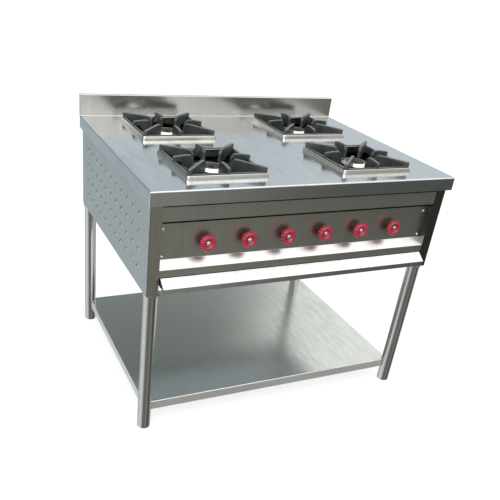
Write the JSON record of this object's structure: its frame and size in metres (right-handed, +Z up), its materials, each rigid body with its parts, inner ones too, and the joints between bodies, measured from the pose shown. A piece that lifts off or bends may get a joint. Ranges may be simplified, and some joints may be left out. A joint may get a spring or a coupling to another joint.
{
  "type": "commercial gas range",
  "caption": "Free-standing stainless gas range: open burners with cast-iron pan supports over a recessed panel of red ring knobs, a slide-out drip tray and an open stand with undershelf.",
  "frame": {"origin": "on the floor, under the middle of the whole object", "axes": "+Z up, +X to the right of someone facing the knobs, front towards -Y"},
  "size_m": [1.15, 0.904, 0.991],
  "materials": {
    "top_steel": "bluish satin stainless, soft reflections",
    "panel_steel": "satin stainless sheet",
    "tray_steel": "bright stainless sheet",
    "tube_steel": "polished stainless tube",
    "well_steel": "bright stainless pressing",
    "cast_iron": "black, slightly rough casting",
    "red_plastic": "glossy red moulding",
    "spindle_steel": "dark machined steel",
    "brass": "machined brass",
    "pipe_steel": "dark painted steel"
  },
  "bodies": {
    "frame": {"worktop": "top_steel", "backsplash": "top_steel", "side_panel_left": "panel_steel", "side_panel_right": "panel_steel", "front_post_left": "panel_steel", "front_post_right": "panel_steel", "front_header_rail": "panel_steel", "control_panel": "panel_steel", "back_panel": "panel_steel", "tray_runner_left": "panel_steel", "tray_runner_right": "panel_steel", "undershelf": "panel_steel", "leg_front_left": "tube_steel", "leg_front_right": "tube_steel", "leg_rear_left": "tube_steel", "leg_rear_right": "tube_steel", "foot_front_left": "tube_steel", "foot_front_right": "tube_steel", "foot_rear_left": "tube_steel", "foot_rear_right": "tube_steel", "burner_well_front_left": "well_steel", "burner_well_front_right": "well_steel", "burner_well_rear_left": "well_steel", "burner_well_rear_right": "well_steel", "burner_body_front_left": "cast_iron", "burner_body_front_right": "cast_iron", "burner_body_rear_left": "cast_iron", "burner_body_rear_right": "cast_iron", "valve_1": "brass", "valve_2": "brass", "valve_3": "brass", "valve_4": "brass", "valve_5": "brass", "valve_6": "brass", "inlet_union": "brass", "gas_manifold": "pipe_steel", "burner_rail_front": "pipe_steel", "burner_rail_rear": "pipe_steel"},
    "knob_1": {"knob_1": "red_plastic", "spindle_1": "spindle_steel"},
    "knob_2": {"knob_2": "red_plastic", "spindle_2": "spindle_steel"},
    "knob_3": {"knob_3": "red_plastic", "spindle_3": "spindle_steel"},
    "knob_4": {"knob_4": "red_plastic", "spindle_4": "spindle_steel"},
    "knob_5": {"knob_5": "red_plastic", "spindle_5": "spindle_steel"},
    "knob_6": {"knob_6": "red_plastic", "spindle_6": "spindle_steel"},
    "drip_tray": {"drip_tray": "tray_steel"},
    "pan_support_front_left": {"pan_support_front_left": "cast_iron"},
    "burner_cap_front_left": {"burner_cap_front_left": "cast_iron"},
    "pan_support_front_right": {"pan_support_front_right": "cast_iron"},
    "burner_cap_front_right": {"burner_cap_front_right": "cast_iron"},
    "pan_support_rear_left": {"pan_support_rear_left": "cast_iron"},
    "burner_cap_rear_left": {"burner_cap_rear_left": "cast_iron"},
    "pan_support_rear_right": {"pan_support_rear_right": "cast_iron"},
    "burner_cap_rear_right": {"burner_cap_rear_right": "cast_iron"}
  },
  "joints": [
    {"name": "knob_1_turn", "type": "hinge", "parent": "frame", "child": "knob_1", "pos_m": [-0.3665, -0.419, 0.7227], "axis": [0, -1, 0], "range_deg": [0, 540]},
    {"name": "knob_2_turn", "type": "hinge", "parent": "frame", "child": "knob_2", "pos_m": [-0.2199, -0.419, 0.7227], "axis": [0, -1, 0], "range_deg": [0, 540]},
    {"name": "knob_3_turn", "type": "hinge", "parent": "frame", "child": "knob_3", "pos_m": [-0.0733, -0.419, 0.7227], "axis": [0, -1, 0], "range_deg": [0, 540]},
    {"name": "knob_4_turn", "type": "hinge", "parent": "frame", "child": "knob_4", "pos_m": [0.0733, -0.419, 0.7227], "axis": [0, -1, 0], "range_deg": [0, 540]},
    {"name": "knob_5_turn", "type": "hinge", "parent": "frame", "child": "knob_5", "pos_m": [0.2199, -0.419, 0.7227], "axis": [0, -1, 0], "range_deg": [0, 540]},
    {"name": "knob_6_turn", "type": "hinge", "parent": "frame", "child": "knob_6", "pos_m": [0.3665, -0.419, 0.7227], "axis": [0, -1, 0], "range_deg": [0, 540]},
    {"name": "drip_tray_slide", "type": "slide", "parent": "frame", "child": "drip_tray", "axis": [0, -1, 0], "range_m": [0, 0.45]},
    {"name": "pan_support_front_left_lift", "type": "slide", "parent": "frame", "child": "pan_support_front_left", "axis": [0, 0, 1], "range_m": [0, 0.15]},
    {"name": "burner_cap_front_left_lift", "type": "slide", "parent": "frame", "child": "burner_cap_front_left", "axis": [0, 0, 1], "range_m": [0, 0.08]},
    {"name": "pan_support_front_right_lift", "type": "slide", "parent": "frame", "child": "pan_support_front_right", "axis": [0, 0, 1], "range_m": [0, 0.15]},
    {"name": "burner_cap_front_right_lift", "type": "slide", "parent": "frame", "child": "burner_cap_front_right", "axis": [0, 0, 1], "range_m": [0, 0.08]},
    {"name": "pan_support_rear_left_lift", "type": "slide", "parent": "frame", "child": "pan_support_rear_left", "axis": [0, 0, 1], "range_m": [0, 0.15]},
    {"name": "burner_cap_rear_left_lift", "type": "slide", "parent": "frame", "child": "burner_cap_rear_left", "axis": [0, 0, 1], "range_m": [0, 0.08]},
    {"name": "pan_support_rear_right_lift", "type": "slide", "parent": "frame", "child": "pan_support_rear_right", "axis": [0, 0, 1], "range_m": [0, 0.15]},
    {"name": "burner_cap_rear_right_lift", "type": "slide", "parent": "frame", "child": "burner_cap_rear_right", "axis": [0, 0, 1], "range_m": [0, 0.08]}
  ]
}
